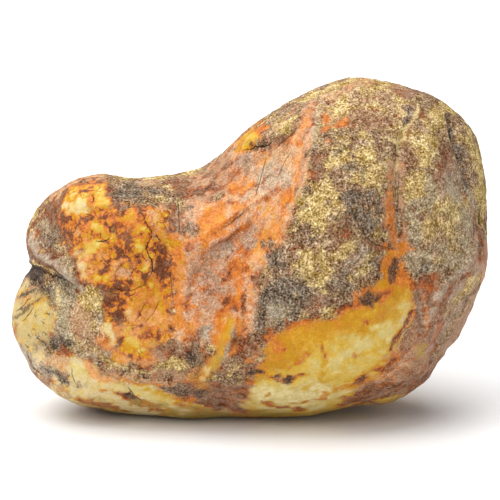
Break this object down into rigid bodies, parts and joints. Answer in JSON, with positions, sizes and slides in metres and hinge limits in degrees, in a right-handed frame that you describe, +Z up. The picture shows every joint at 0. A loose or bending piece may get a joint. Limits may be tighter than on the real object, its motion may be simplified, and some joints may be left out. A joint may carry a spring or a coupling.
{
  "type": "nephrite pebble",
  "caption": "River-worn nephrite pebble in one piece: a tall round head, a low waist and a small folded left lobe, rough brown skin over waxy stone.",
  "frame": {"origin": "under the middle of the pebble's box, on the plane of the worn flat that it rests on", "axes": "+X along the longest extent, from the small left lobe to the tall head; -Y towards the broad face; +Z up"},
  "size_m": [0.1194, 0.0718, 0.0838],
  "materials": {
    "weathered_nephrite": "waxy to glassy where bare, gritty and dull where the iron-stained crust is left"
  },
  "bodies": {
    "root": {"pebble": "weathered_nephrite"}
  },
  "joints": []
}
